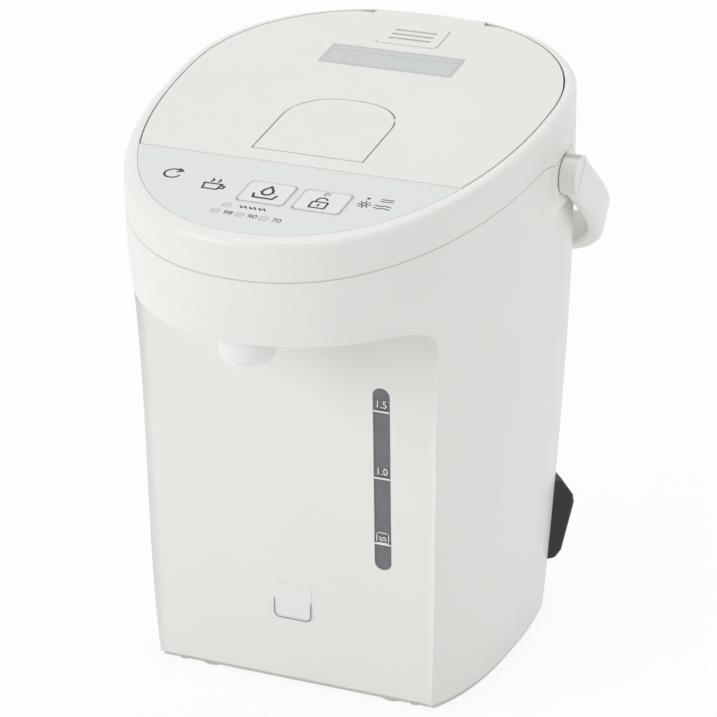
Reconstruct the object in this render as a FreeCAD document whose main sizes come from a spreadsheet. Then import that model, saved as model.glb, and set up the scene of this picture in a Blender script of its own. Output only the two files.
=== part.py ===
import FreeCAD, Part
import math
import os
from FreeCAD import Placement, Rotation, Vector

# Electric thermo pot. Millimetres, +Z up, the front faces -Y.
# The origin is the centre of the bounding box's bottom face.

doc = FreeCAD.newDocument("thermo_pot")
sheet = doc.addObject("Spreadsheet::Sheet", "Sizes")

SIZES = {
    "wall": 2.6,
    "face_tilt": 2.0,
    "face_front": -65.0,
    "top_tilt": 8.53,
    "top_height": 268.8,
    "mid_line": 23.0,
    "seam_drop": 17.5,
    "deck_thick": 3.0,
    "lid_half": 90.0,
    "lid_rear": 82.0,
    "panel_reach": 144.0,
    "lid_front": -57.8,
    "lid_gap": 0.8,
    "niche_top": 199.0,
    "niche_corner": 14.0,
    "niche_blend": 6.5,
    "vessel_inner": 69.0,
    "vessel_wall": 0.8,
    "vessel_floor": 51.0,
    "vessel_mouth": 225.5,
    "vessel_line": 24.0,
    "hinge_line": 103.3,
    "hinge_height": 277.2,
    "hinge_pin": 1.0,
    "bail_line": 20.0,
    "bail_height": 241.0,
    "bail_tilt": 35.0,
    "bail_outer": 106.0,
    "bail_inner": 98.5,
    "bail_reach": 126.4,
    "bail_width": 19.0,
    "boss_radius": 15.0,
    "pivot_radius": 5.0,
    "key_width": 21.4,
    "key_depth": 17.4,
    "gauge_width": 8.3,
    "gauge_height": 91.5,
    "gauge_side": 45.6,
    "gauge_middle": 116.7,
    "nozzle_line": -112.7,
    "pump_side": 30.0,
    "pump_line": -18.0,
    "plate_low": 2.0,
    "case_low": 5.0,
    "lever_half": 26.4,
}
for row, (alias, value) in enumerate(SIZES.items(), start=1):
    sheet.set(f"A{row}", alias)
    sheet.set(f"B{row}", str(value))
    sheet.setAlias(f"B{row}", alias)
doc.recompute()

# Heights of the hull with half width, rear reach, front reach and the exponents of the
# rounded outline behind and in front of its widest line.
HULL = [
    (5.0, 84.0, 99.0, -94.0, 2.6, 3.0),
    (80.0, 88.0, 101.5, -106.7, 2.85, 2.6),
    (160.0, 91.4, 104.5, -122.0, 2.9, 2.2),
    (214.0, 93.6, 106.6, -128.2, 2.6, 2.24),
    (250.0, 95.0, 108.5, -128.3, 2.35, 2.24),
    (290.0, 95.3, 109.5, -127.8, 2.2, 2.2),
]


def number(value):
    return SIZES[value] if isinstance(value, str) else value


def drive(obj, prop, value):
    setattr(obj, prop, number(value))
    if isinstance(value, str):
        obj.setExpression(prop, "Sizes." + value)


def turn(axis, angle):
    return Rotation(Vector(*axis), angle)


def at(x, y, z, rotation=None):
    return Placement(Vector(x, y, z), rotation or Rotation())


# The lid frame lies in the sloping top plane, the face frame in the recessed front.
TOP_COS = math.cos(math.radians(SIZES["top_tilt"]))
LID = at(0, SIZES["mid_line"], SIZES["top_height"], turn((1, 0, 0), SIZES["top_tilt"]))
FACE = at(0, SIZES["face_front"], 0, turn((1, 0, 0), SIZES["face_tilt"]))
UPRIGHT = turn((1, 0, 0), 90)


def along(plan_y):
    return (plan_y - SIZES["mid_line"]) / TOP_COS


def sketch(name, edges, place):
    obj = doc.addObject("Sketcher::SketchObject", name)
    obj.addGeometry(edges, False)
    obj.Placement = place
    return obj


def polyline(points):
    ends = points[1:] + points[:1]
    return [Part.LineSegment(Vector(*a, 0), Vector(*b, 0)) for a, b in zip(points, ends)]


def rounded(x0, y0, x1, y1, radius):
    shape = Part.makePlane(x1 - x0, y1 - y0, Vector(x0, y0, 0)).OuterWire
    corners = [v.Point for v in shape.OrderedVertexes]
    edges = []
    count = len(corners)
    starts = []
    for i, corner in enumerate(corners):
        back = (corners[i - 1] - corner).normalize()
        ahead = (corners[(i + 1) % count] - corner).normalize()
        a = corner + back * radius
        b = corner + ahead * radius
        middle = corner + (back + ahead) * radius * (1 - math.sqrt(0.5))
        edges.append(Part.Arc(a, middle, b))
        starts.append((a, b))
    for i in range(count):
        edges.append(Part.LineSegment(starts[i][1], starts[(i + 1) % count][0]))
    return edges


def oval_point(angle, half, rear, front, bend_rear, bend_front, middle):
    c = math.cos(angle)
    s = math.sin(angle)
    bend = bend_rear if s >= 0 else bend_front
    reach = rear - middle if s >= 0 else middle - front
    x = half * math.copysign(abs(c) ** (2 / bend), c)
    y = middle + reach * math.copysign(abs(s) ** (2 / bend), s)
    return Vector(x, y, 0)


def oval(half, rear, front, bend_rear, bend_front, middle=None):
    middle = SIZES["mid_line"] if middle is None else middle
    # The closed curve starts beside the front's middle, away from the cuts made later.
    points = []
    for step in range(48):
        angle = 2 * math.pi * (step + 2.5) / 48 - math.pi / 2
        points.append(oval_point(angle, half, rear, front, bend_rear, bend_front, middle))
    curve = Part.BSplineCurve()
    curve.interpolate(Points=points, PeriodicFlag=True)
    return [curve]


def split_oval(inset, cut, rear_part, bend=2.2):
    # Part of the lid outline behind or in front of the line at cut, in lid coordinates.
    half = SIZES["lid_half"] - inset
    reach = (SIZES["panel_reach"] / TOP_COS - inset) if cut < 0 else 0
    drop = -cut / reach
    x_end = half * (1 - drop ** bend) ** (1 / bend)
    start = math.asin(drop ** (bend / 2))
    rear = SIZES["lid_rear"] / TOP_COS - inset
    if rear_part:
        first, last = -start, math.pi + start
    else:
        first, last = -start, start - math.pi
    points = []
    for step in range(41):
        angle = first + (last - first) * step / 40
        points.append(oval_point(angle, half, rear, -reach, bend, bend, 0))
    curve = Part.BSplineCurve()
    curve.interpolate(points)
    return [curve, Part.LineSegment(points[-1], points[0])]


def prism(name, edges, depth, place, start=0.0):
    base = sketch(name + "_outline", edges, place.multiply(at(0, 0, start)))
    obj = doc.addObject("Part::Extrusion", name)
    obj.Base = base
    obj.DirMode = "Custom"
    obj.Dir = place.Rotation.multVec(Vector(0, 0, 1))
    drive(obj, "LengthFwd", depth)
    obj.Solid = True
    return obj


def box(name, low, dims, place=None):
    obj = doc.addObject("Part::Box", name)
    for prop, value in zip(("Length", "Width", "Height"), dims):
        drive(obj, prop, value)
    obj.Placement = (place or Placement()).multiply(at(*low))
    return obj


def rod(name, radius, length, place, rotation=None):
    obj = doc.addObject("Part::Cylinder", name)
    drive(obj, "Radius", radius)
    drive(obj, "Height", length)
    obj.Placement = place.multiply(at(0, 0, 0, rotation)) if rotation else place
    return obj


def turned(name, profile, place):
    base = sketch(name + "_profile", polyline(profile), place.multiply(at(0, 0, 0, UPRIGHT)))
    obj = doc.addObject("Part::Revolution", name)
    obj.Source = base
    obj.Axis = place.Rotation.multVec(Vector(0, 0, 1))
    obj.Base = place.Base
    obj.Angle = 360
    obj.Solid = True
    return obj


def join(name, *parts):
    obj = doc.addObject("Part::MultiFuse", name)
    obj.Shapes = list(parts)
    obj.Refine = True
    return obj


def meet(name, *parts):
    obj = doc.addObject("Part::MultiCommon", name)
    obj.Shapes = list(parts)
    return obj


def cut(name, base, *tools):
    obj = doc.addObject("Part::Cut", name)
    obj.Base = base
    obj.Tool = tools[0] if len(tools) == 1 else join(name + "_tools", *tools)
    return obj


def blend(name, base, radius, choose):
    doc.recompute()
    picks = [i for i, edge in enumerate(base.Shape.Edges, start=1) if choose(edge)]
    obj = doc.addObject("Part::Fillet", name)
    obj.Base = base
    obj.Edges = [(i, radius, radius) for i in picks]
    return obj


def group(name, *parts):
    obj = doc.addObject("Part::Compound", name)
    obj.Links = list(parts)
    return obj


def pipe(name, points, bend, outer, inner):
    # A tube along a polyline whose corners are rounded to the bend radius.
    corners = [Vector(*p) for p in points]
    edges = []
    last = corners[0]
    for i in range(1, len(corners) - 1):
        back = (corners[i - 1] - corners[i]).normalize()
        ahead = (corners[i + 1] - corners[i]).normalize()
        half = back.getAngle(ahead) / 2
        trim = bend / math.tan(half)
        a = corners[i] + back * trim
        b = corners[i] + ahead * trim
        bisector = (back + ahead).normalize()
        middle = corners[i] + bisector * (bend / math.sin(half) - bend)
        edges.append(Part.LineSegment(last, a).toShape())
        edges.append(Part.Arc(a, middle, b).toShape())
        last = b
    edges.append(Part.LineSegment(last, corners[-1]).toShape())
    spine = Part.Wire(edges)
    heading = (corners[1] - corners[0]).normalize()
    rings = [Part.Wire(Part.makeCircle(r, corners[0], heading)) for r in (outer, inner)]
    tubes = [spine.makePipeShell([ring], True, True) for ring in rings]
    obj = doc.addObject("Part::Feature", name)
    obj.Shape = tubes[0].cut(tubes[1])
    return obj


NODES = {}


def node(name, obj):
    NODES[name] = obj
    obj.Label = name
    return obj


def hull(name, part, inset, below=0.0):
    # The body and the head are lofted apart, so that the head's front stays upright.
    levels = []
    span = (0, 4) if part == "body" else (3, 6)
    for i in range(*span):
        z, half, rear, front, bend_rear, bend_front = HULL[i]
        edges = oval(half - inset, rear - inset, front + inset, bend_rear, bend_front)
        height = z - below if i == 0 else z
        levels.append(sketch(f"{name}_{i}", edges, at(0, 0, height)))
    obj = doc.addObject("Part::Loft", name)
    obj.Sections = levels
    obj.Solid = True
    obj.Ruled = False
    return obj


def niche(name, margin):
    # The recess under the head: wider and higher by the margin, and set back by it.
    low = 72.0 + margin
    high = 75.6 + margin
    top = SIZES["niche_top"] + margin
    r = SIZES["niche_corner"] + margin
    side = [
        Part.LineSegment(Vector(-high + r, top, 0), Vector(high - r, top, 0)),
        Part.Arc(Vector(high - r, top, 0), Vector(high - r * 0.293, top - r * 0.293, 0),
                 Vector(high, top - r, 0)),
        Part.LineSegment(Vector(high, top - r, 0), Vector(low, -10, 0)),
        Part.LineSegment(Vector(low, -10, 0), Vector(-low, -10, 0)),
        Part.LineSegment(Vector(-low, -10, 0), Vector(-high, top - r, 0)),
        Part.Arc(Vector(-high, top - r, 0), Vector(-high + r * 0.293, top - r * 0.293, 0),
                 Vector(-high + r, top, 0)),
    ]
    place = FACE.multiply(at(0, margin, 0, UPRIGHT))
    base = sketch(name + "_outline", side, place)
    solid = doc.addObject("Part::Extrusion", name + "_block")
    solid.Base = base
    solid.DirMode = "Custom"
    solid.Dir = Vector(0, -1, 0)
    solid.LengthFwd = 110
    solid.Solid = True

    def rear_edge(edge):
        ends = [place.inverse().multVec(v.Point) for v in edge.Vertexes]
        flat = all(abs(p.z) < 0.01 for p in ends)
        return flat and max(p.y for p in ends) > 0
    return blend(name, solid, SIZES["niche_blend"], rear_edge)


def outer_case():
    wall = SIZES["wall"]
    outside = cut("case_outside", hull("body_outer", "body", 0), niche("niche_outer", 0))
    inside = cut("case_inside", hull("body_inner", "body", wall, 1), niche("niche_inner", wall))
    head = cut("head_shell", hull("head_outer", "head", 0), hull("head_inner", "head", wall))
    shell = join("case_shell", cut("body_shell", outside, inside), head)
    lid_side = box("above_seam", (-120, -200, -SIZES["seam_drop"]), (240, 330, 100), LID)
    slot = prism("gauge_slot", rounded(-SIZES["gauge_width"] / 2, -SIZES["gauge_height"] / 2,
                                       SIZES["gauge_width"] / 2, SIZES["gauge_height"] / 2, 4.0),
                 20, FACE.multiply(at(SIZES["gauge_side"], 10, SIZES["gauge_middle"], UPRIGHT)))
    spout = rod("nozzle_hole", 7.4, 30, at(0, SIZES["nozzle_line"], 190))
    inlet = box("inlet_hole", (-20, -20, 36), (40, 40, 26), SOCKET)
    pins = rod("pin_holes", 5.2, 240, at(-120, SIZES["bail_line"], SIZES["bail_height"], turn((0, 1, 0), 90)))
    open_case = cut("case_open", shell, lid_side, slot, spout, inlet, pins)
    posts = []
    for x, y in POSTS:
        posts.append(rod("case_post", 5.0, 16, at(x, y, 8.0)))
    solid_posts = meet("case_posts", join("posts_all", *posts), inside)
    bored = [rod("post_bore", 1.3, 14, at(x, y, 7.0)) for x, y in POSTS]
    return node("outer_case", cut("outer_case", join("case_fused", open_case, solid_posts), *bored))


# Screw posts, and the frame of the socket housing at the back right.
POSTS = [(77.5, 23.0), (-77.5, 23.0), (45.0, 85.5), (-45.0, 85.5), (59.0, -59.2), (-59.0, -59.2)]
SOCKET = at(70.9, 75.5, 0, turn((0, 0, 1), 40))
KEYS = {"key_dispense": (-2.1, -85.5), "key_unlock": (24.4, -86.0)}
LAMPS = [(-14.7, -99.7, 4.3, 3.8), (-17.4, -106.0, 4.4, 4.0), (-5.8, -106.4, 4.4, 4.0),
         (5.8, -106.9, 4.4, 4.0), (23.9, -79.3, 2.2, 1.6)]


def key_window(name, x, y, margin, depth, start):
    w = SIZES["key_width"] / 2 + margin
    d = SIZES["key_depth"] / 2 + margin
    return prism(name, rounded(-w, -d, w, d, 2.0), depth, LID.multiply(at(x, along(y), 0)), start)


def top_frame():
    head_outer = doc.getObject("head_outer")
    slab = box("collar_slab", (-120, -200, -SIZES["seam_drop"]), (240, 330, SIZES["seam_drop"]), LID)
    collar = meet("collar_block", head_outer, slab)
    hollow = meet("collar_hollow", hull("hull_hollow", "head", 3.4),
                  box("hollow_slab", (-120, -200, -30), (240, 330, 30 - SIZES["deck_thick"]), LID))
    edge = along(SIZES["lid_front"])
    opening = prism("lid_opening", split_oval(-0.3, edge - 0.1, True), 13, LID, -8)

    def outer_edge(edge):
        return edge.Length > 600 and abs(LID.inverse().multVec(edge.CenterOfMass).z) < 0.05
    ring = cut("collar_open", cut("collar_ring", collar, hollow), opening)
    ring = blend("collar_round", ring, 3.8, outer_edge)
    recess = prism("film_recess", split_oval(-0.3, edge - 1.2, False), 5, LID, -0.6)
    bulkhead = box("bulkhead", (-77, -60.7, 229.5), (154, 2.4, 40))
    under_top = box("under_top", (-120, -200, -70), (240, 330, 69), LID)
    bulkhead = meet("bulkhead_cut", bulkhead, under_top, head_outer)
    posts = []
    for x, y in ((-50, -72), (48, -72), (-30, -108), (28, -108)):
        posts.append(rod("board_post", 3.0, 6.5, LID.multiply(at(x, along(y), -9.0))))
    windows = []
    for name, (x, y) in KEYS.items():
        windows.append(key_window(name + "_window", x, y, 0.35, 10, -5))
    for x, y, w, d in LAMPS:
        windows.append(prism("lamp_window", rounded(-w / 2 - 0.1, -d / 2 - 0.1, w / 2 + 0.1, d / 2 + 0.1, d / 2 - 0.1),
                             10, LID.multiply(at(x, along(y), 0)), -5))
    notch = box("hinge_notch", (-28.4, 96.5, 271.5), (56.8, 20, 20))
    latch_slot = box("latch_slot", (-13, along(-65), -10.6), (26, 10, 4.2), LID)
    pin = rod("hinge_bore", SIZES["hinge_pin"] + 0.05, 70, at(-35, SIZES["hinge_line"], SIZES["hinge_height"], turn((0, 1, 0), 90)))
    body = join("frame_fused", ring, bulkhead, *posts)
    return node("top_frame", cut("top_frame", body, recess, notch, latch_slot, pin, *windows))


def control_panel():
    edge = along(SIZES["lid_front"])
    film = prism("film_block", split_oval(0.0, edge - 1.4, False), 0.6, LID, -0.6)
    windows = []
    for name, (x, y) in KEYS.items():
        windows.append(key_window(name + "_hole", x, y, 0.3, 10, -5))
    for x, y, w, d in LAMPS:
        windows.append(prism("film_lamp", rounded(-w / 2 - 0.1, -d / 2 - 0.1, w / 2 + 0.1, d / 2 + 0.1, d / 2 - 0.1),
                             10, LID.multiply(at(x, along(y), 0)), -5))
    node("panel_film", cut("panel_film", film, *windows))
    for name, (x, y) in KEYS.items():
        cap = key_window(name + "_cap", x, y, 0, 1.6, -1.4)
        stem = box(name + "_stem", (x - 3, along(y) - 3, -6.8), (6, 6, 5.6), LID)
        pierced = []
        for lamp_x, lamp_y, w, d in LAMPS:
            if abs(lamp_x - x) < 10 and abs(lamp_y - y) < 8:
                pierced.append(rod(name + "_lamp_hole", w / 2 + 0.5, 10, LID.multiply(at(lamp_x, along(lamp_y), -5))))
        cap = cut(name + "_pierced", cap, *pierced) if pierced else cap
        node(name, join(name, cap, stem))
    lamps = []
    for x, y, w, d in LAMPS:
        lamps.append(prism("lamp", rounded(-w / 2, -d / 2, w / 2, d / 2, d / 2 - 0.05), 7.4,
                           LID.multiply(at(x, along(y), 0)), -7.4))
    node("indicator_lenses", group("indicator_lenses", *lamps))
    board = prism("board_plate", polyline([(-56, along(-66.5)), (-56, along(-94)), (-38, along(-111)), (38, along(-111)),
                                           (56, along(-94)), (56, along(-66.5))]), 1.6, LID, -10.6)
    switches = []
    for x, y in KEYS.values():
        switches.append(box("tact_switch", (x - 3, along(y) - 3, -9.1), (6, 6, 1.5), LID))
    for x, y in ((-46, -80), (-26, -82)):
        switches.append(box("tact_switch", (x - 3, along(y) - 3, -9.1), (6, 6, 1.5), LID))
    chips = [box("lamp_seat", (x - 2, along(y) - 2, -9.1), (4, 4, 1.7), LID) for x, y, w, d in LAMPS]
    chip = box("chip", (-14, along(-96), -13.2), (12, 12, 2.8), LID)
    node("control_board", join("control_board", board, chip, *switches, *chips))


def vessel():
    r = SIZES["vessel_inner"]
    w = SIZES["vessel_wall"]
    low = SIZES["vessel_floor"]
    high = SIZES["vessel_mouth"]
    place = at(0, SIZES["vessel_line"], 0)
    profile = [(0, low - w), (r - 5, low - w), (r + w, low + 4), (r + w, high), (r + 4, high), (r + 4, high + 1),
               (r - 0.4, high + 1), (r, high), (r, low + 4.2), (r - 5.2, low), (0, low)]
    body = turned("vessel_body", profile, place)
    drain = rod("vessel_drain", 5.0, 20, at(SIZES["pump_side"], SIZES["pump_line"], 40))
    node("inner_container", cut("inner_container", body, drain))
    band = turned("heater_ring", [(r + w + 0.3, 58), (r + w + 2.6, 58), (r + w + 2.6, 84), (r + w + 0.3, 84)], place)
    lug = box("heater_lug", (r + w + 1.5, SIZES["vessel_line"] - 8, 64), (5, 16, 12))
    node("heater_band", join("heater_band", band, lug))
    cup = turned("sensor_body", [(0, 38), (9, 38), (9, 47), (12, 47), (12, low - w), (0, low - w)], place)
    node("sensor_cup", cup)
    ring = meet("well_block", hull("hull_well", "head", 3.0), box("well_slab", (-120, -60.5, high + 1), (240, 200, 3)))
    mouth = rod("well_mouth", 66.0, 40, at(0, SIZES["vessel_line"], high - 10))
    node("well_deck", cut("well_deck", ring, mouth))


def pump():
    x = SIZES["pump_side"]
    y = SIZES["pump_line"]
    place = at(x, y, 0)
    body = turned("volute", [(0, 24), (22, 24), (22, 42), (7.5, 42), (7.5, SIZES["vessel_floor"] - SIZES["vessel_wall"]),
                             (0, SIZES["vessel_floor"] - SIZES["vessel_wall"])], place)
    outlet = rod("pump_outlet", 5.0, 26, at(SIZES["gauge_side"], y, 33, turn((1, 0, 0), 90)))
    chamber = turned("pump_chamber", [(0, 27), (18.5, 27), (18.5, 39), (0, 39)], place)
    eye = rod("pump_eye", 4.5, 20, at(x, y, 36))
    duct = rod("pump_duct", 3.2, 40, at(SIZES["gauge_side"], y + 2, 33, turn((1, 0, 0), 90)))
    shaft = rod("shaft_hole", 2.05, 10, at(x, y, 20))
    node("pump_housing", cut("pump_housing", join("pump_block", body, outlet), chamber, eye, duct, shaft))
    disc = rod("impeller_disc", 15.5, 2.0, at(x, y, 28.5))
    hub = rod("impeller_hub", 4.0, 8.0, at(x, y, 28.5))
    shaft = rod("impeller_shaft", 2.0, 12.5, at(x, y, 17))
    blades = []
    for i in range(6):
        blades.append(box("blade", (3.0, -0.8, 30.0), (11.5, 1.6, 6.0), at(x, y, 0, turn((0, 0, 1), 60 * i))))
    node("pump_impeller", join("pump_impeller", disc, hub, shaft, *blades))
    motor = turned("motor_body", [(2.05, 8), (17, 8), (17, 22), (14, 24), (2.05, 24)], place)
    node("pump_motor", motor)
    tube_y = SIZES["face_front"] + 9.0
    low = -math.tan(math.radians(SIZES["face_tilt"]))
    node("riser_pipe", pipe("riser_pipe", [(SIZES["gauge_side"], y - 26, 33), (SIZES["gauge_side"], tube_y, 33),
                                           (SIZES["gauge_side"], tube_y + low * 56, 56)], 8.0, 4.6, 3.2))
    tube = FACE.multiply(at(SIZES["gauge_side"], 9.0, 56.0))
    glass = cut("gauge_tube", rod("tube_outer", 4.2, 132, tube), rod("tube_inner", 3.2, 134, tube.multiply(at(0, 0, -1))))
    node("gauge_tube", glass)
    end = FACE.multVec(Vector(SIZES["gauge_side"], 9.0, 188.0))
    node("outlet_pipe", pipe("outlet_pipe", [tuple(end), (end.x, end.y, 215), (0, SIZES["nozzle_line"], 215),
                                             (0, SIZES["nozzle_line"], 206)], 5.5, 4.6, 3.2))


def gauge():
    place = FACE.multiply(at(SIZES["gauge_side"], 0, SIZES["gauge_middle"], UPRIGHT))
    w = SIZES["gauge_width"] / 2 - 0.05
    h = SIZES["gauge_height"] / 2 - 0.05
    node("gauge_window", prism("gauge_window", rounded(-w, -h, w, h, 3.95), 1.9, place, -2.6))
    block = prism("channel_block", rounded(-8, -h - 5, 8, h + 5, 3.0), 11.4, place, -14.0)
    groove = prism("channel_groove", rounded(-w, -h, w, h, 3.95), 20, place, -6.0)
    bore = rod("channel_bore", 4.3, 200, FACE.multiply(at(SIZES["gauge_side"], 9.0, 30.0)))
    node("gauge_channel", cut("gauge_channel", block, groove, bore))
    badge = prism("badge_plate", rounded(-9.6, -9.2, 9.6, 9.2, 4.0), 0.3, FACE.multiply(at(0, 0, 45.4, UPRIGHT)))
    node("badge_plate", badge)


def nozzle():
    top = SIZES["niche_top"]
    place = at(0, SIZES["nozzle_line"], 0)
    profile = [(4.4, top - 13), (9.5, top - 13), (11.4, top - 12), (12.4, top - 10), (13.0, top - 3), (14.4, top),
               (14.4, top + 4), (4.4, top + 4)]
    skirt = meet("nozzle_skirt", turned("nozzle_cone", profile, place), doc.getObject("niche_outer"))
    neck = turned("nozzle_neck", [(4.4, top - 5), (7.2, top - 5), (7.2, top + 7), (4.4, top + 7)], place)
    node("nozzle", join("nozzle", skirt, neck))


def base():
    _, half, rear, front, bend_rear, bend_front = HULL[0]
    low = SIZES["plate_low"]
    plate = prism("plate_block", oval(half - 1.5, rear - 1.5, front + 1.5, bend_rear, bend_front), 3.0, at(0, 0, low))
    tray = prism("tray_block", oval(half - 3.4, rear - 3.4, front + 3.4, bend_rear, bend_front), 3.0, at(0, 0, low + 3))
    stands = []
    for x, y in ((-62, 10), (-20, 10), (-62, 48), (-20, 48)):
        stands.append(rod("board_stand", 3.0, 6.5, at(x, y, 7.5)))
    niche_tool = doc.getObject("niche_inner")
    body = cut("plate_front", join("plate_fused", plate, tray, *stands), niche_tool)
    heads = []
    bores = []
    for x, y in POSTS:
        heads.append(rod("head_seat", 4.0, 3.0, at(x, y, 0)))
        bores.append(rod("screw_bore", 1.8, 30, at(x, y, 0)))
    vents = []
    for i in range(7):
        vents.append(box("vent_slot", (-30 + i * 6, 56, 0), (3, 26, 20)))
    node("base_plate", cut("base_plate", body, *heads, *bores, *vents))
    screws = []
    for x, y in POSTS:
        screws.append(turned("screw", [(0, 1.4), (3.2, 1.4), (3.2, 3.0), (1.3, 3.0), (1.3, 18), (0, 18)], at(x, y, 0)))
    node("base_screws", group("base_screws", *screws))
    pads = []
    for x, y in ((46, -54), (-46, -54), (62, 62), (-62, 62), (0, 92)):
        pads.append(turned("pad", [(0, 0), (6.5, 0), (7.2, 0.6), (7.2, low), (0, low)], at(x, y, 0)))
    node("feet", group("feet", *pads))
    board = box("power_plate", (-68, 4, 14), (54, 50, 1.6))
    parts = [box("transformer", (-62, 18, 15.5), (20, 18, 13)), box("relay", (-34, 12, 15.5), (14, 10, 11)),
             rod("capacitor", 5.0, 14, at(-30, 36, 15.5))]
    node("power_board", join("power_board", board, *parts))


def socket():
    side = [(-9, 28), (0.5, 28.5), (3.0, 31.5), (9.0, 56.5), (8.4, 60.5), (2.4, 69.5), (-9, 70)]
    block = prism("socket_block", polyline(side), 48, SOCKET.multiply(at(0, 24, 0, UPRIGHT)))

    def long_edge(edge):
        ends = [SOCKET.inverse().multVec(v.Point) for v in edge.Vertexes]
        return len(ends) == 2 and min(p.x for p in ends) > 0.4 and abs(ends[0].y) > 23.9 and abs(ends[0].y - ends[1].y) < 1
    block = blend("socket_round", block, 2.5, long_edge)
    outside = join("socket_outside", cut("socket_shell", block, hull("hull_socket", "body", -0.02)),
                   box("socket_throat", (-10, -19.8, 36.2), (14, 39.6, 25.6), SOCKET))
    recess = prism("socket_recess", rounded(-15.5, 38.5, 15.5, 60, 3.0), 30, SOCKET.multiply(at(-5, 0, 0, turn((0, 0, 1), 90).multiply(UPRIGHT))))
    node("inlet_housing", cut("inlet_housing", outside, recess))
    pins = []
    for y in (-7, 7):
        pins.append(rod("prong", 1.8, 9, SOCKET.multiply(at(-5, y, 47)), turn((0, 1, 0), 90)))
    node("inlet_pins", group("inlet_pins", *pins))
    node("inlet_plate", box("inlet_plate", (-5, -12, 52.5), (1.2, 24, 5), SOCKET))


def bail():
    pivot = at(0, SIZES["bail_line"], SIZES["bail_height"])
    frame = pivot.multiply(at(0, 0, 0, turn((1, 0, 0), -SIZES["bail_tilt"])))
    outer = SIZES["bail_outer"]
    inner = SIZES["bail_inner"]
    reach = SIZES["bail_reach"]
    w = SIZES["bail_width"]
    u_out = prism("bail_out", oval(outer, reach, -30, 3.0, 3.0, 0.0), w, frame, -w / 2)
    u_in = prism("bail_in", oval(inner, reach - 8.5, -40, 3.0, 3.0, 0.0), w + 2, frame, -w / 2 - 1)
    loop = cut("bail_loop", u_out, u_in)

    def rim(edge):
        return edge.Length > 150
    loop = blend("bail_smooth", loop, 3.0, rim)
    front = box("bail_front", (-130, -80, -20), (260, 80, 40), frame)
    hubs = [rod("bail_hub", w / 2, outer - inner, pivot.multiply(at(x, 0, 0)), turn((0, 1, 0), 90)) for x in (-outer, inner)]
    smooth = join("bail_whole", cut("bail_ring", loop, front), *hubs)
    sockets = [rod("bail_socket", SIZES["pivot_radius"] + 0.05, 5.5, pivot.multiply(at(x, 0, 0)), turn((0, 1, 0), 90))
               for x in (inner - 0.5, -inner - 5.0)]
    node("bail_handle", cut("bail_handle", smooth, *sockets))
    pins = [rod("pivot_pin", "pivot_radius", 12.6, pivot.multiply(at(x, 0, 0)), turn((0, 1, 0), 90)) for x in (90.5, -103.1)]
    node("pivot_pins", group("pivot_pins", *pins))
    place = pivot.multiply(at(0, 0, 0, turn((0, 1, 0), -90)))
    bore = SIZES["pivot_radius"] + 0.03
    disc = turned("boss_disc", [(bore, 88), (23, 88), (23, 93.4), (18.5, 95.0), (16.0, 96.4), (SIZES["boss_radius"], 98.0),
                                (bore, 98.0)], place)
    left = node("boss_left", cut("boss_left", disc, doc.getObject("head_outer")))
    right = doc.addObject("Part::Mirroring", "boss_right")
    right.Source = left
    right.Normal = Vector(1, 0, 0)
    node("boss_right", right)


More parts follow.
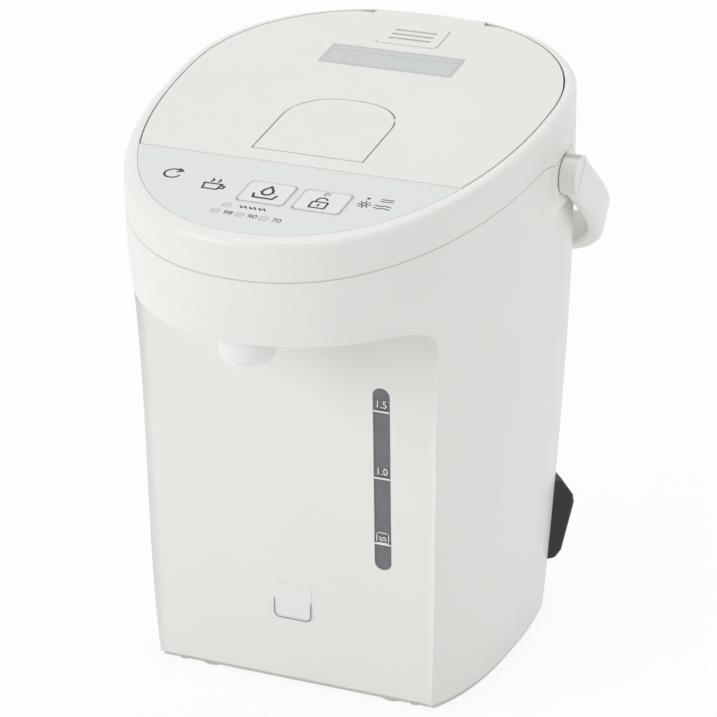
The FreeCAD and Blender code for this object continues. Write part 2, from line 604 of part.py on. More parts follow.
def lid():
    edge = along(SIZES["lid_front"])
    gap = SIZES["lid_gap"] - 0.3
    plate = prism("lid_plate", split_oval(gap, edge + gap, True), 3.0, LID, -3.0)
    skirt = prism("lid_skirt", split_oval(3.0, edge + 3.0, True), 12.0, LID, -14.0)
    tab = box("hinge_tab", (-27.8, along(88), -4.2), (55.6, along(SIZES["hinge_line"]) - along(88), 4.2), LID)
    barrel = rod("hinge_barrel", 3.4, 55.6, at(-27.8, SIZES["hinge_line"], SIZES["hinge_height"], turn((0, 1, 0), 90)))
    hollow = prism("lid_hollow", split_oval(5.2, edge + 5.2, True), 11.6, LID, -14.2)
    half = SIZES["lever_half"]
    front = along(-46.6)
    rear = along(8.0)
    bend = along(-15.0)

    def lever_outline(margin):
        left = Vector(-half - margin, front - margin, 0)
        right = Vector(half + margin, front - margin, 0)
        right_up = Vector(half + margin, bend, 0)
        left_up = Vector(-half - margin, bend, 0)
        points = []
        for step in range(13):
            c = math.cos(math.pi * step / 12)
            d = math.sin(math.pi * step / 12)
            x = (half + margin) * math.copysign(abs(c) ** 0.87, c)
            points.append(Vector(x, bend + (rear + margin - bend) * abs(d) ** 0.87, 0))
        points[0] = right_up
        points[-1] = left_up
        arc = Part.BSplineCurve()
        arc.interpolate(points)
        return [Part.LineSegment(left, right), Part.LineSegment(right, right_up), arc, Part.LineSegment(left_up, left)]
    pocket_wall = prism("lever_well", lever_outline(2.6), 10.5, LID, -11.0)
    pocket = prism("lever_pocket", lever_outline(0.82), 20, LID, -9.0)
    trunnion = LID.multiply(at(0, along(-4.0), -2.6, turn((0, 1, 0), 90)))
    trunnion_bore = rod("lever_bore", 2.45, 58.4, trunnion.multiply(at(0, 0, -29.2)))
    vent = prism("vent_seat", rounded(-15.8, along(68.6), 15.8, along(89.4), 3.0), 5, LID, -1.6)
    steam = box("steam_way", (-10, along(72), -6), (20, 12, 8), LID)
    label = prism("label_seat", rounded(-33.7, along(42.1), 33.7, along(62.4), 0.6), 5, LID, -0.15)
    bolt_way = box("bolt_way", (-12.4, edge - 4, -9.9), (24.8, 23, 2.8), LID)
    tail_way = box("tail_way", (-4.4, edge + 7.6, -14.4), (8.8, 11.4, 5.2), LID)
    pin_bore = rod("lid_pin_bore", SIZES["hinge_pin"] + 0.02, 70, at(-35, SIZES["hinge_line"], SIZES["hinge_height"], turn((0, 1, 0), 90)))
    shell = join("lid_shell", cut("lid_open", join("lid_block", plate, skirt), hollow), pocket_wall)
    # Beside the hinge the rim is thin and set back, so that it clears the frame as the lid opens.
    rear_trim = [box("rear_trim", (x, along(99.2), -3.4), (26, 12, 6), LID) for x in (28.2, -54.2)]
    thinned = cut("rear_rim", prism("rear_under", split_oval(-0.5, edge - 5, True), 2.3, LID, -3.3),
                  prism("rear_keep", split_oval(3.0, edge + 3.0, True), 2.6, LID, -3.45))
    thinned = meet("rear_ring", thinned, box("rear_zone", (-72, along(82), -4), (144, 40, 4), LID))
    shell = join("lid_whole", cut("lid_trimmed", shell, thinned, *rear_trim), tab, barrel)
    node("lid_cover", cut("lid_cover", shell, pocket, trunnion_bore, vent, steam, label, bolt_way, tail_way, pin_bore))
    node("hinge_pin", rod("hinge_pin", "hinge_pin", 68, at(-34, SIZES["hinge_line"], SIZES["hinge_height"], turn((0, 1, 0), 90))))

    wedge = prism("tray_outer", split_oval(5.6, edge + 5.6, True), 40, LID, -54.0)
    above = box("tray_above", (-120, -200, 237.5), (240, 302.0, 60))
    below = box("tray_below", (-120, -200, -60), (240, 400, 46), LID)
    tray_block = meet("tray_solid", wedge, above, below)
    inner = prism("tray_inner", split_oval(8.0, edge + 8.0, True), 40, LID, -50.0)
    inner_above = box("tray_room", (-120, -200, 240.0), (240, 299.6, 60))
    node("lid_tray", cut("lid_tray", tray_block, meet("tray_hollow", inner, inner_above)))
    plate = turned("inner_lid", [(0, 231.0), (56, 231.0), (60, 233), (60, 237.5), (58.5, 237.5), (58.5, 233.8), (55.5, 232.2), (0, 232.2)],
                   at(0, SIZES["vessel_line"], 0))
    node("inner_lid", plate)
    seal = turned("lid_gasket", [(60.3, 233.5), (63.5, 230.0), (65.4, 229.9), (65.4, 231.5), (64.0, 237.5), (60.3, 237.5)], at(0, SIZES["vessel_line"], 0))
    node("lid_gasket", seal)
    cap = prism("vent_block", rounded(-15.5, along(68.9), 15.5, along(89.1), 2.8), 1.9, LID, -1.6)
    slots = [box("vent_opening", (-10.5, along(y), -5), (21, 1.6, 10), LID) for y in (74.0, 78.4, 82.8)]
    node("vent_cap", cut("vent_cap", cap, *slots))
    node("label_plate", prism("label_plate", rounded(-33.4, along(42.4), 33.4, along(62.1), 0.5), 0.2, LID, -0.15))
    lever = join("lid_lever", prism("lever_plate", lever_outline(0), 2.2, LID, -2.2), rod("lever_pin", 2.4, 58, trunnion.multiply(at(0, 0, -29))))
    node("lid_lever", lever)
    bolt = box("latch_body", (-12, edge + 0.6, -9.6), (24, 13.8, 2.2), LID)
    tail = box("latch_tail", (-4, edge + 8, -13.4), (8, 6.4, 4.2), LID)
    node("latch_bolt", join("latch_bolt", bolt, tail))


outer_case()
top_frame()
control_panel()
vessel()
pump()
gauge()
nozzle()
base()
socket()
bail()
lid()
doc.recompute()

problems = []
for obj in doc.Objects:
    if "Invalid" in obj.State or "Error" in obj.State:
        problems.append(f"{obj.Name}: {obj.State}")
os.makedirs("parts", exist_ok=True)
for name, obj in NODES.items():
    shape = obj.Shape
    if shape.isNull() or not shape.isValid() or not shape.Solids:
        problems.append(f"{name}: bad shape")
        continue
    shape.exportStep(f"parts/{name}.step")
    b = shape.BoundBox
    print(f"{name:18s} solids {len(shape.Solids)} vol {shape.Volume / 1000:8.2f} cm3 "
          f"x {b.XMin:7.1f} {b.XMax:7.1f} y {b.YMin:7.1f} {b.YMax:7.1f} z {b.ZMin:7.1f} {b.ZMax:7.1f}")
print("nodes", len(NODES))
for line in problems:
    print("PROBLEM", line)
if problems:
    raise RuntimeError("the build has problems")
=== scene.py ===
import bpy
import math
from mathutils import Matrix, Vector


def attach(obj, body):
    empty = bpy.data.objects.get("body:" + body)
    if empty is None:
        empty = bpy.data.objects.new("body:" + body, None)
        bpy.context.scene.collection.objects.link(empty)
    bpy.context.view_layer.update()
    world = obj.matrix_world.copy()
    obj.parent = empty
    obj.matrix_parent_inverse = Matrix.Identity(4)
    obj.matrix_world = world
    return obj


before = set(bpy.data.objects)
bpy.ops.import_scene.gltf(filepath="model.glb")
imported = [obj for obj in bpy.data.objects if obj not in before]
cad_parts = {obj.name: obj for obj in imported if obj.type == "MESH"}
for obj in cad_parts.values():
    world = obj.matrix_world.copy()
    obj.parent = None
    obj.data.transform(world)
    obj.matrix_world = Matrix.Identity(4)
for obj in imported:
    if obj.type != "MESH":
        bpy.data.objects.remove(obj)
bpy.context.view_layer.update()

bpy.ops.object.select_all(action="DESELECT")
scene = bpy.context.scene
scene.view_settings.view_transform = "Standard"

# Shell: injection-moulded ABS in a warm white. It is the tapered body with its head, the
# sloping collar, the bail's bosses, the bail and the lid. The mould leaves a faint
# eggshell grain and a satin gloss.


def srgb(text):
    channels = [int(text[i:i + 2], 16) / 255 for i in (1, 3, 5)]
    linear = [c / 12.92 if c <= 0.04045 else ((c + 0.055) / 1.055) ** 2.4 for c in channels]
    return (*linear, 1.0)


def add(tree, kind, inputs=None, **settings):
    node = tree.nodes.new(kind)
    for name, value in settings.items():
        setattr(node, name, value)
    for socket, value in (inputs or {}).items():
        if isinstance(value, bpy.types.NodeSocket):
            tree.links.new(value, node.inputs[socket])
        else:
            node.inputs[socket].default_value = value
    return node


def new_material(name):
    material = bpy.data.materials.new(name)
    material.use_nodes = True
    material.node_tree.nodes.clear()
    return material, material.node_tree


DRIFT_SIZE = 0.06
GRAIN_MM = 0.9
GRAIN_DEPTH_MM = 0.006
ABS_IOR = 1.5


def moulded(name, light, dark, roughness, seam=False):
    # Moulded plastic: the tint drifts softly over 60 mm, and a fine grain softens the gloss.
    material, tree = new_material(name)
    place = add(tree, "ShaderNodeTexCoord").outputs["Object"]
    drift = add(tree, "ShaderNodeTexNoise", {"Vector": place, "Scale": 1 / DRIFT_SIZE, "Detail": 2.0})
    tint = add(tree, "ShaderNodeMix", {0: drift.outputs["Fac"], 6: srgb(light), 7: srgb(dark)},
               data_type="RGBA")
    colour = tint.outputs[2]
    if seam:
        colour = seam_line(tree, place, colour)
    grain = add(tree, "ShaderNodeTexNoise", {"Vector": place, "Scale": 1000 / GRAIN_MM, "Detail": 3.0})
    bump = add(tree, "ShaderNodeBump", {"Height": grain.outputs["Fac"], "Strength": 0.35,
                                        "Distance": GRAIN_DEPTH_MM / 1000})
    gloss = add(tree, "ShaderNodeMapRange", {"Value": drift.outputs["Fac"], "To Min": roughness - 0.02,
                                             "To Max": roughness + 0.03})
    shader = add(tree, "ShaderNodeBsdfPrincipled", {"Base Color": colour, "Roughness": gloss.outputs[0],
                                                    "IOR": ABS_IOR, "Normal": bump.outputs[0]})
    add(tree, "ShaderNodeOutputMaterial", {"Surface": shader.outputs[0]})
    return material


TOP_TILT = math.radians(8.53)
TOP_NORMAL = (0.0, -math.sin(TOP_TILT), math.cos(TOP_TILT))
TOP_CENTRE = Vector((0.0, 0.023, 0.2688))
SEAM_DROP = 0.0175
SEAM_HEIGHT = TOP_CENTRE.dot(Vector(TOP_NORMAL)) - SEAM_DROP
SEAM_CORE = 0.00012
SEAM_EDGE = 0.00042


def seam_line(tree, place, colour):
    # The joint below the collar lies on the plane 17.5 mm under the sloping top. It is a
    # fine shaded line, because the solids only butt there.
    height = add(tree, "ShaderNodeVectorMath", {0: place, 1: TOP_NORMAL}, operation="DOT_PRODUCT")
    offset = add(tree, "ShaderNodeMath", {0: height.outputs["Value"], 1: SEAM_HEIGHT}, operation="SUBTRACT")
    apart = add(tree, "ShaderNodeMath", {0: offset.outputs[0]}, operation="ABSOLUTE")
    line = add(tree, "ShaderNodeMapRange", {"Value": apart.outputs[0], "From Min": SEAM_CORE,
                                            "From Max": SEAM_EDGE, "To Min": 1.0, "To Max": 0.0})
    mixed = add(tree, "ShaderNodeMix", {0: line.outputs[0], 6: colour, 7: srgb("#c2c0ba")},
                data_type="RGBA")
    return mixed.outputs[2]


def wear(material, *names):
    for name in names:
        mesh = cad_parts[name].data
        mesh.materials.clear()
        mesh.materials.append(material)


wear(moulded("shell_white_abs", "#efede9", "#ebe9e5", 0.36, seam=True),
     "outer_case", "top_frame", "boss_left", "boss_right", "bail_handle")
wear(moulded("lid_white_abs", "#ebe9e4", "#e8e6e1", 0.38), "lid_cover", "lid_lever", "vent_cap")

# Panel: a polyester film printed on its back and glued into the collar. It has a cool
# grey-green tint and a silky gloss, and the two keys are capped with the same film.

DOT_MM = 0.5
DOT_DEPTH = 0.000004
POLYESTER_IOR = 1.57


def film(name, light, dark, roughness):
    # Polyester overlay: a silk surface with a very fine dot grain under a thin clear coat.
    material, tree = new_material(name)
    place = add(tree, "ShaderNodeTexCoord").outputs["Object"]
    drift = add(tree, "ShaderNodeTexNoise", {"Vector": place, "Scale": 25.0, "Detail": 1.0})
    tint = add(tree, "ShaderNodeMix", {0: drift.outputs["Fac"], 6: srgb(light), 7: srgb(dark)},
               data_type="RGBA")
    dots = add(tree, "ShaderNodeTexVoronoi", {"Vector": place, "Scale": 1000 / DOT_MM})
    bump = add(tree, "ShaderNodeBump", {"Height": dots.outputs["Distance"], "Strength": 0.2,
                                        "Distance": DOT_DEPTH})
    shader = add(tree, "ShaderNodeBsdfPrincipled", {"Base Color": tint.outputs[2], "Roughness": roughness,
                                                    "IOR": POLYESTER_IOR, "Coat Weight": 0.15,
                                                    "Coat Roughness": 0.25, "Normal": bump.outputs[0]})
    add(tree, "ShaderNodeOutputMaterial", {"Surface": shader.outputs[0]})
    return material


wear(film("panel_polyester_film", "#e2e5e0", "#dfe2dd", 0.34), "panel_film")
wear(film("key_polyester_film", "#e6e8e3", "#e3e5e0", 0.30), "key_dispense", "key_unlock")
wear(film("lamp_smoked_lens", "#cdcfcc", "#c9cbc8", 0.28), "indicator_lenses")

# Print on the film: screen ink, dark and matte, drawn 0.04 mm thick so that it shows. The
# numbers are the three keep-warm temperatures; the rest are plain pictograms.

INK_THICKNESS = 0.00004
INK_DEPTH = 0.000004
CAP_HEIGHT = 0.7
BAR_OVERRUN = 0.7


def ink(name, colour, roughness):
    # Screen ink: a dry pigment layer whose cover varies a little along each stroke.
    material, tree = new_material(name)
    place = add(tree, "ShaderNodeTexCoord").outputs["Object"]
    cover = add(tree, "ShaderNodeTexNoise", {"Vector": place, "Scale": 1800.0, "Detail": 2.0})
    gloss = add(tree, "ShaderNodeMapRange", {"Value": cover.outputs["Fac"], "To Min": roughness - 0.06,
                                             "To Max": roughness + 0.06})
    bump = add(tree, "ShaderNodeBump", {"Height": cover.outputs["Fac"], "Strength": 0.2,
                                        "Distance": INK_DEPTH})
    shader = add(tree, "ShaderNodeBsdfPrincipled", {"Base Color": srgb(colour),
                                                    "Roughness": gloss.outputs[0],
                                                    "Normal": bump.outputs[0]})
    add(tree, "ShaderNodeOutputMaterial", {"Surface": shader.outputs[0]})
    return material


dark_ink = ink("print_dark_ink", "#3c3d3f", 0.6)
pale_ink = ink("print_pale_ink", "#c3c6c3", 0.5)
white_ink = ink("print_white_ink", "#f0f0ee", 0.5)
TOP_PLAN_CENTRE = 23.0
TOP_PLACE = Matrix.Translation(TOP_CENTRE) @ Matrix.Rotation(TOP_TILT, 4, "X")


def on_top(x, plan_y, lift, scale=1.0):
    # Millimetres across and along the plan to a frame just above the sloping top.
    along = (plan_y - TOP_PLAN_CENTRE) / 1000 / math.cos(TOP_TILT)
    point = TOP_PLACE @ Vector((x / 1000, along, lift / 1000))
    flat = Matrix.Diagonal((scale, scale, 1.0, 1.0))
    return Matrix.Translation(point) @ Matrix.Rotation(TOP_TILT, 4, "X") @ flat


def bake(obj, matrix, material, name, body):
    obj.data.transform(matrix)
    obj.matrix_world = Matrix.Identity(4)
    obj.name = name
    obj.data.name = name
    obj.data.materials.clear()
    obj.data.materials.append(material)
    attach(obj, body)


def lettering(text, height, matrix, material, name, body):
    bpy.ops.object.select_all(action="DESELECT")
    bpy.ops.object.text_add()
    obj = bpy.context.object
    obj.data.body = text
    obj.data.size = height / 1000 / CAP_HEIGHT
    obj.data.align_x = "CENTER"
    obj.data.align_y = "CENTER"
    obj.data.extrude = INK_THICKNESS / 2
    obj.data.resolution_u = 4
    bpy.ops.object.convert(target="MESH")
    bake(bpy.context.object, matrix, material, name, body)


def strokes(lines, width, matrix, material, name, body):
    # Flat printed strokes: each line is a list of points in millimetres on the surface.
    # Each run of a line is a cube squashed to a thin bar that overruns both ends a little.
    bars = []
    for points in lines:
        for a, b in zip(points, points[1:]):
            start = Vector((*a, 0.0)) / 1000
            end = Vector((*b, 0.0)) / 1000
            run = end - start
            bpy.ops.object.select_all(action="DESELECT")
            bpy.ops.mesh.primitive_cube_add(size=1.0)
            bar = bpy.context.object
            length = run.length + width / 1000 * BAR_OVERRUN
            size = Matrix.Diagonal((length, width / 1000, INK_THICKNESS, 1.0))
            angle = Matrix.Rotation(math.atan2(run.y, run.x), 4, "Z")
            bar.data.transform(Matrix.Translation((start + end) / 2) @ angle @ size)
            bars.append(bar)
    for bar in bars:
        bar.select_set(True)
    bpy.context.view_layer.objects.active = bars[0]
    bpy.ops.object.join()
    bake(bpy.context.object, matrix, material, name, body)


def rounded_line(x0, y0, x1, y1, r):
    corners = ((x1 - r, y1 - r, 0), (x0 + r, y1 - r, 90), (x0 + r, y0 + r, 180), (x1 - r, y0 + r, 270))
    points = []
    for cx, cy, first in corners:
        for step in range(7):
            angle = math.radians(first + 15 * step)
            points.append((cx + r * math.cos(angle), cy + r * math.sin(angle)))
    return points + points[:1]


def circle_line(x, y, r, count=20):
    turns = [math.tau * i / count for i in range(count + 1)]
    return [(x + r * math.cos(turn), y + r * math.sin(turn)) for turn in turns]


PRINT_LIFT = 0.03
KEY_LIFT = 0.23

# A round arrow for boiling again and a steaming cup for keeping warm, left of the keys.
reboil = [circle_line(0, 0, 3.0)[3:20], [(1.2, 3.6), (2.9, 2.3), (1.0, 1.2)]]
strokes(reboil, 0.75, on_top(-50.2, -79.6, PRINT_LIFT, 1.3), dark_ink, "print_reboil", "pot")
cup = [[(-3.4, 0.4), (-2.8, -3.2), (2.2, -3.2), (2.8, 0.4), (-3.4, 0.4)],
       [(2.7, -0.4), (4.2, -0.8), (4.0, -2.1), (2.5, -2.3)],
       [(-1.6, 1.6), (-1.1, 2.5), (-1.6, 3.5)],
       [(0.8, 1.6), (1.3, 2.5), (0.8, 3.5)]]
strokes(cup, 0.75, on_top(-28.2, -84.0, PRINT_LIFT, 1.35), dark_ink, "print_keep_warm", "pot")

# A falling drop over a cup's rim on the left key, and an open padlock on the right one.
drop = [[(0.0, 4.2), (-1.7, 1.5), (-2.1, -0.2), (-1.1, -1.7), (0.0, -2.0), (1.1, -1.7), (2.1, -0.2),
         (1.7, 1.5), (0.0, 4.2)],
        [(-4.4, -1.8), (-3.6, -4.4), (3.6, -4.4), (4.4, -1.8)]]
strokes(drop, 0.95, on_top(-2.2, -84.8, KEY_LIFT, 1.25), dark_ink, "print_dispense", "dispense")
padlock = [rounded_line(-3.0, -4.0, 3.0, 0.4, 0.6),
           [(-1.9, 0.4), (-1.9, 2.2), (-1.2, 3.3), (0.0, 3.7), (1.2, 3.3), (1.9, 2.4)],
           [(0, -1.2), (0, -2.6)]]
strokes(padlock, 0.75, on_top(23.8, -87.2, KEY_LIFT, 1.2), dark_ink, "print_unlock", "unlock")

# A dot, a small sun, two straight lines and two waves stand for the kinds of flow.
SUN_X = -5.6
SUN_Y = -0.4
flow = [circle_line(SUN_X, 4.0, 0.35, 8), circle_line(SUN_X, SUN_Y, 1.0, 10)]
for i in range(8):
    c = math.cos(math.tau * i / 8)
    s = math.sin(math.tau * i / 8)
    flow.append([(SUN_X + 1.7 * c, SUN_Y + 1.7 * s), (SUN_X + 2.4 * c, SUN_Y + 2.4 * s)])
for y in (4.6, 3.2):
    flow.append([(-0.8, y), (3.6, y)])
for y in (0.4, -1.4):
    flow.append([(-1.6, y), (0.2, y - 0.7), (2.0, y), (4.2, y - 0.7)])
strokes(flow, 0.5, on_top(49.5, -82.4, PRINT_LIFT, 1.25), dark_ink, "print_flow", "pot")

# Three small waves beside the upper lamp stand for boiling, and numbers follow the others.
boiling = []
for x in (0.0, 3.4, 6.8):
    boiling.append([(x - 4, 0.7), (x - 3.2, -0.5), (x - 2.2, 0.7), (x - 1.4, -0.5)])
strokes(boiling, 0.55, on_top(-3.4, -99.8, PRINT_LIFT, 1.3), dark_ink, "print_boiling", "pot")
for number, x, plan_y in (("98", -11.3, -106.3), ("90", 0.3, -106.6), ("70", 12.0, -107.1)):
    lettering(number, 3.2, on_top(x, plan_y, PRINT_LIFT), dark_ink, "print_" + number, "pot")

# A pale border is printed around each key's window.
border = [rounded_line(-11.5, -9.5, 11.5, 9.5, 2.6)]
for label, x, plan_y in (("dispense", -2.1, -85.5), ("unlock", 24.4, -86.0)):
    strokes(border, 0.5, on_top(x, plan_y, PRINT_LIFT), pale_ink, "print_border_" + label, "pot")

# Level window: a smoked acrylic strip over a clear tube that holds water to the same
# height as the inner container. Its scale is printed in white on the front.

ACRYLIC_IOR = 1.49


def smoked(name, colour, roughness):
    # Smoked acrylic: a clean gloss over a dark tint. It is drawn opaque with soft streaks, in
    # place of the tube that would show through it.
    material, tree = new_material(name)
    place = add(tree, "ShaderNodeTexCoord").outputs["Object"]
    streak = add(tree, "ShaderNodeTexNoise", {"Vector": place, "Scale": 220.0, "Detail": 1.0})
    tint = add(tree, "ShaderNodeMix", {0: streak.outputs["Fac"], 6: srgb(colour), 7: srgb("#75737a")},
               data_type="RGBA")
    shader = add(tree, "ShaderNodeBsdfPrincipled", {"Base Color": tint.outputs[2], "Roughness": roughness,
                                                    "IOR": ACRYLIC_IOR, "Coat Weight": 0.5,
                                                    "Coat Roughness": 0.05})
    add(tree, "ShaderNodeOutputMaterial", {"Surface": shader.outputs[0]})
    return material


wear(smoked("window_smoked_acrylic", "#5f5d62", 0.16), "gauge_window")
wear(moulded("channel_grey_abs", "#56565a", "#4e4e52", 0.5), "gauge_channel")


def clear(name, tint, roughness, ior):
    # Clear part: most light goes through, and a slow ripple bends it a little.
    material, tree = new_material(name)
    place = add(tree, "ShaderNodeTexCoord").outputs["Object"]
    ripple = add(tree, "ShaderNodeTexNoise", {"Vector": place, "Scale": 90.0})
    bump = add(tree, "ShaderNodeBump", {"Height": ripple.outputs["Fac"], "Strength": 0.1,
                                        "Distance": 0.00002})
    shader = add(tree, "ShaderNodeBsdfPrincipled", {"Base Color": srgb(tint), "Roughness": roughness,
                                                    "IOR": ior, "Transmission Weight": 0.9,
                                                    "Normal": bump.outputs[0]})
    add(tree, "ShaderNodeOutputMaterial", {"Surface": shader.outputs[0]})
    return material


wear(clear("tube_clear_glass", "#eef3f2", 0.03, 1.5), "gauge_tube")
FACE_FRONT = -65.0
FACE_TILT = math.radians(2.0)
FACE_SLOPE = Matrix.Rotation(math.radians(90.0) - FACE_TILT, 4, "X")


def on_face(x, z, lift):
    # Millimetres across and up to a frame in front of the face. The frame's place follows
    # the leaning face, but its plane leans 2 degrees the other way.
    y = FACE_FRONT - z * math.tan(FACE_TILT) - lift
    return Matrix.Translation((x / 1000, y / 1000, z / 1000)) @ FACE_SLOPE


WINDOW_X = 45.6
WINDOW_LIFT = 0.14
LEVELS = (84.3, 117.6, 150.9)
for z in LEVELS:
    strokes([[(-3.6, 0), (3.6, 0)]], 0.8, on_face(WINDOW_X, z, WINDOW_LIFT), white_ink,
            f"scale_line_{int(z)}", "pot")
for number, z in (("1.0", 121.0), ("1.5", 154.3)):
    lettering(number, 3.4, on_face(WINDOW_X, z, WINDOW_LIFT), white_ink,
              "scale_" + number.replace(".", "_"), "pot")
refill = [rounded_line(-2.9, 0.6, 2.9, 5.6, 0.8),
          [(-1.7, 3.6), (-0.6, 2.7), (0.6, 3.6), (1.7, 2.7)],
          [(-1.7, 2.4), (-0.6, 1.5), (0.6, 2.4), (1.7, 1.5)]]
strokes(refill, 0.45, on_face(WINDOW_X, LEVELS[0], WINDOW_LIFT), white_ink, "scale_refill", "pot")

# Badge: a thin bare plate glued to the foot of the front face. Its only mark is a printed
# border, a rounded square in grey ink.
BADGE_Z = 45.4
BADGE_LIFT = 0.34
wear(film("badge_satin_plate", "#efedea", "#ebe9e6", 0.32), "badge_plate")
strokes([rounded_line(-9.2, -8.7, 9.2, 8.7, 2.6)], 0.4, on_face(0.0, BADGE_Z, BADGE_LIFT),
        ink("badge_grey_ink", "#77787a", 0.5), "badge_border", "pot")

# Lid fittings: on the lid lies a silver film label, left bare but for a printed border and
# rule. Under it hang the liner tray, the drawn steel inner lid and its silicone seal.


def metal(name, light, dark, roughness, brush_mm, axis):
    # Brushed metal: fine parallel scratches along one axis roughen the reflection.
    material, tree = new_material(name)
    place = add(tree, "ShaderNodeTexCoord").outputs["Object"]
    fine = 1000 / brush_mm
    scale = [fine, fine, fine]
    scale[axis] = fine / 40
    lie = add(tree, "ShaderNodeMapping", {"Vector": place, "Scale": scale})
    scratch = add(tree, "ShaderNodeTexNoise", {"Vector": lie.outputs[0], "Scale": 1.0, "Detail": 3.0})
    tint = add(tree, "ShaderNodeMix", {0: scratch.outputs["Fac"], 6: srgb(light), 7: srgb(dark)},
               data_type="RGBA")
    gloss = add(tree, "ShaderNodeMapRange", {"Value": scratch.outputs["Fac"], "To Min": roughness - 0.08,
                                             "To Max": roughness + 0.08})
    bump = add(tree, "ShaderNodeBump", {"Height": scratch.outputs["Fac"], "Strength": 0.3,
                                        "Distance": 0.00001})
    shader = add(tree, "ShaderNodeBsdfPrincipled", {"Base Color": tint.outputs[2],
                                                    "Roughness": gloss.outputs[0], "Metallic": 1.0,
                                                    "Normal": bump.outputs[0]})
    add(tree, "ShaderNodeOutputMaterial", {"Surface": shader.outputs[0]})
    return material


LABEL_Y = 52.25
LABEL_LIFT = 0.08
wear(film("label_silver_film", "#cfd1d0", "#c6c8c8", 0.42), "label_plate")
strokes([rounded_line(-32.4, -9.0, 32.4, 9.0, 0.6)], 0.25, on_top(0, LABEL_Y, LABEL_LIFT),
        ink("label_grey_ink", "#b4b6b6", 0.5), "label_border", "lid")
strokes([[(-32.4, 4.6), (32.4, 4.6)]], 0.25, on_top(0, LABEL_Y, LABEL_LIFT),
        ink("label_rule_ink", "#b4b6b6", 0.5), "label_rule", "lid")
wear(moulded("liner_grey_abs", "#c4c4c0", "#bcbcb8", 0.5), "lid_tray", "well_deck")

SILICONE_IOR = 1.41


def rubber(name, light, dark, roughness):
    # Silicone or rubber: soft and matte, with a dusty bloom in the low spots.
    material, tree = new_material(name)
    place = add(tree, "ShaderNodeTexCoord").outputs["Object"]
    bloom = add(tree, "ShaderNodeTexNoise", {"Vector": place, "Scale": 300.0, "Detail": 4.0})
    tint = add(tree, "ShaderNodeMix", {0: bloom.outputs["Fac"], 6: srgb(light), 7: srgb(dark)},
               data_type="RGBA")
    bump = add(tree, "ShaderNodeBump", {"Height": bloom.outputs["Fac"], "Strength": 0.2,
                                        "Distance": 0.00002})
    shader = add(tree, "ShaderNodeBsdfPrincipled", {"Base Color": tint.outputs[2], "Roughness": roughness,
                                                    "IOR": SILICONE_IOR, "Normal": bump.outputs[0]})
    add(tree, "ShaderNodeOutputMaterial", {"Surface": shader.outputs[0]})
    return material


wear(rubber("seal_silicone", "#dedad0", "#d4d0c6", 0.55), "lid_gasket")
wear(metal("inner_lid_steel", "#cfcfcd", "#b9b9b7", 0.28, 0.3, 0), "inner_lid")
wear(metal("pin_steel", "#cfcfcf", "#b2b2b2", 0.25, 0.4, 0), "hinge_pin")
wear(moulded("latch_grey_acetal", "#b8b8b6", "#b0b0ae", 0.4), "latch_bolt")

# Container and pump: inside stand the drawn stainless container with its heater band and
# sensor cup, and the moulded pump. Its silicone hoses lead up to the nozzle.
wear(metal("container_steel", "#d2d2cf", "#b5b5b2", 0.24, 0.3, 2), "inner_container")
wear(metal("heater_steel", "#a9a5a0", "#8f8a84", 0.4, 0.5, 0), "heater_band")
wear(metal("sensor_aluminium", "#d8d9da", "#c3c4c6", 0.3, 0.3, 0), "sensor_cup")
wear(metal("motor_zinc_steel", "#b9bab9", "#9c9d9d", 0.35, 0.5, 2), "pump_motor")
wear(moulded("pump_cream_nylon", "#dcd8cc", "#d3cfc2", 0.5), "pump_housing", "pump_impeller")
wear(rubber("hose_silicone", "#e3e0d8", "#d9d6ce", 0.5), "riser_pipe", "outlet_pipe")
wear(moulded("nozzle_white_abs", "#f1efec", "#edebe8", 0.36), "nozzle")

# Boards: both circuit boards are glass-epoxy laminate under a green solder mask. The weave
# of the glass cloth shows through it as a fine check.

WEAVE_MM = 0.8
LAMINATE_IOR = 1.55


def laminate(name, light, dark):
    material, tree = new_material(name)
    place = add(tree, "ShaderNodeTexCoord").outputs["Object"]
    weave = add(tree, "ShaderNodeTexChecker", {"Vector": place, "Scale": 1000 / WEAVE_MM,
                                               "Color1": srgb(light), "Color2": srgb(dark)})
    shader = add(tree, "ShaderNodeBsdfPrincipled", {"Base Color": weave.outputs["Color"],
                                                    "Roughness": 0.35, "IOR": LAMINATE_IOR})
    add(tree, "ShaderNodeOutputMaterial", {"Surface": shader.outputs[0]})
    return material


wear(laminate("board_solder_mask", "#1f6b43", "#1b5f3b"), "control_board", "power_board")

# Base: a grey ABS plate held by six plated screws, with five rubber feet. The power inlet
# at the rear right is black nylon with two brass pins and a magnet plate.
wear(moulded("base_grey_abs", "#d8d7d2", "#d0cfca", 0.5), "base_plate", "pivot_pins")
wear(metal("screw_steel", "#c9c9c9", "#adadad", 0.3, 0.4, 0), "base_screws")
wear(rubber("foot_rubber", "#dddcd8", "#d2d1cd", 0.7), "feet")
wear(moulded("inlet_black_nylon", "#18181a", "#121214", 0.45), "inlet_housing")
wear(metal("inlet_brass", "#d8c07c", "#c2a960", 0.22, 0.3, 2), "inlet_pins")
wear(metal("magnet_plate_steel", "#b8b8b8", "#9f9f9f", 0.3, 0.4, 0), "inlet_plate")

# Studio: a white floor that runs up into a backdrop, three soft lamps and a pale sky give
# plain product light, brightest from the front left and above.

FLOOR_GLOW = 0.9


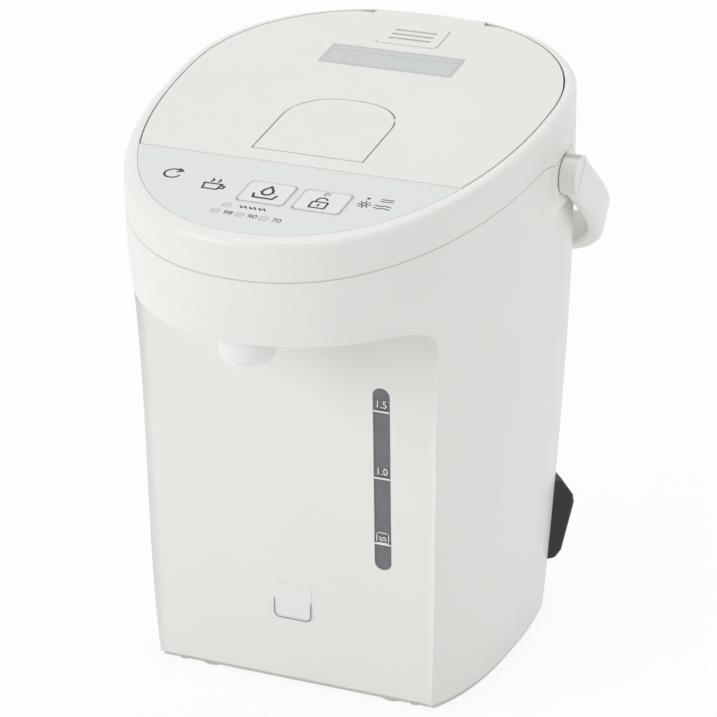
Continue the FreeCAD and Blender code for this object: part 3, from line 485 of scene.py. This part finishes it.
def backdrop_material():
    # White to the lens, to reflections and through glass, and pale card to the lamps' light.
    material, tree = new_material("backdrop_card")
    path = add(tree, "ShaderNodeLightPath")
    place = add(tree, "ShaderNodeTexCoord").outputs["Object"]
    fleck = add(tree, "ShaderNodeTexNoise", {"Vector": place, "Scale": 40.0})
    tint = add(tree, "ShaderNodeMix", {0: fleck.outputs["Fac"], 6: srgb("#f8f8f8"), 7: srgb("#f5f5f5")},
               data_type="RGBA")
    card = add(tree, "ShaderNodeBsdfDiffuse", {"Color": tint.outputs[2]})
    glow = add(tree, "ShaderNodeEmission", {"Color": (1.0, 1.0, 1.0, 1.0), "Strength": 1.0})
    seen = add(tree, "ShaderNodeMath", {0: path.outputs["Is Camera Ray"], 1: path.outputs["Is Glossy Ray"]},
               operation="MAXIMUM")
    through = add(tree, "ShaderNodeMath", {0: seen.outputs[0], 1: path.outputs["Is Transmission Ray"]},
                  operation="MAXIMUM")
    share = add(tree, "ShaderNodeMath", {0: through.outputs[0], 1: FLOOR_GLOW}, operation="MULTIPLY")
    mixed = add(tree, "ShaderNodeMixShader", {0: share.outputs[0], 1: card.outputs[0], 2: glow.outputs[0]})
    add(tree, "ShaderNodeOutputMaterial", {"Surface": mixed.outputs[0]})
    return material


# The floor's grid is bent: the first 0.6 of its length lies flat, the next 0.2 sweeps up
# through a quarter circle, and the rest is the wall.
FLOOR_WIDTH = 8.0
FLOOR_START = -2.6
FLAT_LENGTH = 3.6
FLAT_SHARE = 0.6
SWEEP_RADIUS = 0.6
WALL_HEIGHT = 2.2
bpy.ops.mesh.primitive_grid_add(x_subdivisions=2, y_subdivisions=24, size=1.0)
floor = bpy.context.object
floor.name = "studio_floor"
for vertex in floor.data.vertices:
    run = vertex.co.y + 0.5
    flat = min(run / FLAT_SHARE, 1.0)
    rise = max(run - FLAT_SHARE, 0.0) / (1.0 - FLAT_SHARE)
    sweep = math.radians(90.0 * min(rise / 0.5, 1.0))
    wall = max(rise - 0.5, 0.0) / 0.5
    vertex.co = (vertex.co.x * FLOOR_WIDTH,
                 FLOOR_START + FLAT_LENGTH * flat + SWEEP_RADIUS * math.sin(sweep),
                 SWEEP_RADIUS * (1.0 - math.cos(sweep)) + WALL_HEIGHT * wall)
floor.data.materials.append(backdrop_material())
bpy.ops.object.shade_smooth()


def soft_lamp(name, place, target, width, power):
    data = bpy.data.lights.new(name, "AREA")
    data.shape = "SQUARE"
    data.size = width
    data.energy = power
    lamp = bpy.data.objects.new(name, data)
    scene.collection.objects.link(lamp)
    lamp.location = place
    lamp.rotation_euler = (Vector(target) - Vector(place)).to_track_quat("-Z", "Y").to_euler()


soft_lamp("lamp_key", (-1.3, -1.5, 1.0), (0, 0, 0.14), 1.2, 17.0)
soft_lamp("lamp_top", (-0.1, 0.4, 1.9), (0, 0, 0.2), 1.5, 9.0)
soft_lamp("lamp_fill", (1.7, -0.5, 0.9), (0, 0, 0.12), 1.2, 6.0)

# The sky lights the pot as a pale grey and is pure white to the lens.
SKY_STRENGTH = 0.55
world = bpy.data.worlds.new("studio_sky")
scene.world = world
world.use_nodes = True
sky = world.node_tree
sky.nodes.clear()
path = add(sky, "ShaderNodeLightPath")
light = add(sky, "ShaderNodeBackground", {"Color": srgb("#f4f6f8"), "Strength": SKY_STRENGTH})
seen = add(sky, "ShaderNodeBackground", {"Color": (1.0, 1.0, 1.0, 1.0), "Strength": 1.0})
mixed = add(sky, "ShaderNodeMixShader", {0: path.outputs["Is Camera Ray"], 1: light.outputs[0],
                                         2: seen.outputs[0]})
add(sky, "ShaderNodeOutputWorld", {"Surface": mixed.outputs[0]})

# Camera: a long lens looks down at the pot from the front right.
CAMERA_PLACE = Vector((0.54095, -1.27684, 0.72512))
CAMERA_TARGET = Vector((-0.00835, 0.03211, 0.12818))
camera_data = bpy.data.cameras.new("camera")
camera_data.lens = 160.67
camera_data.sensor_width = 36.0
camera_data.clip_end = 50.0
camera = bpy.data.objects.new("camera", camera_data)
scene.collection.objects.link(camera)
camera.location = CAMERA_PLACE
camera.rotation_euler = (CAMERA_TARGET - CAMERA_PLACE).to_track_quat("-Z", "Y").to_euler()
scene.camera = camera
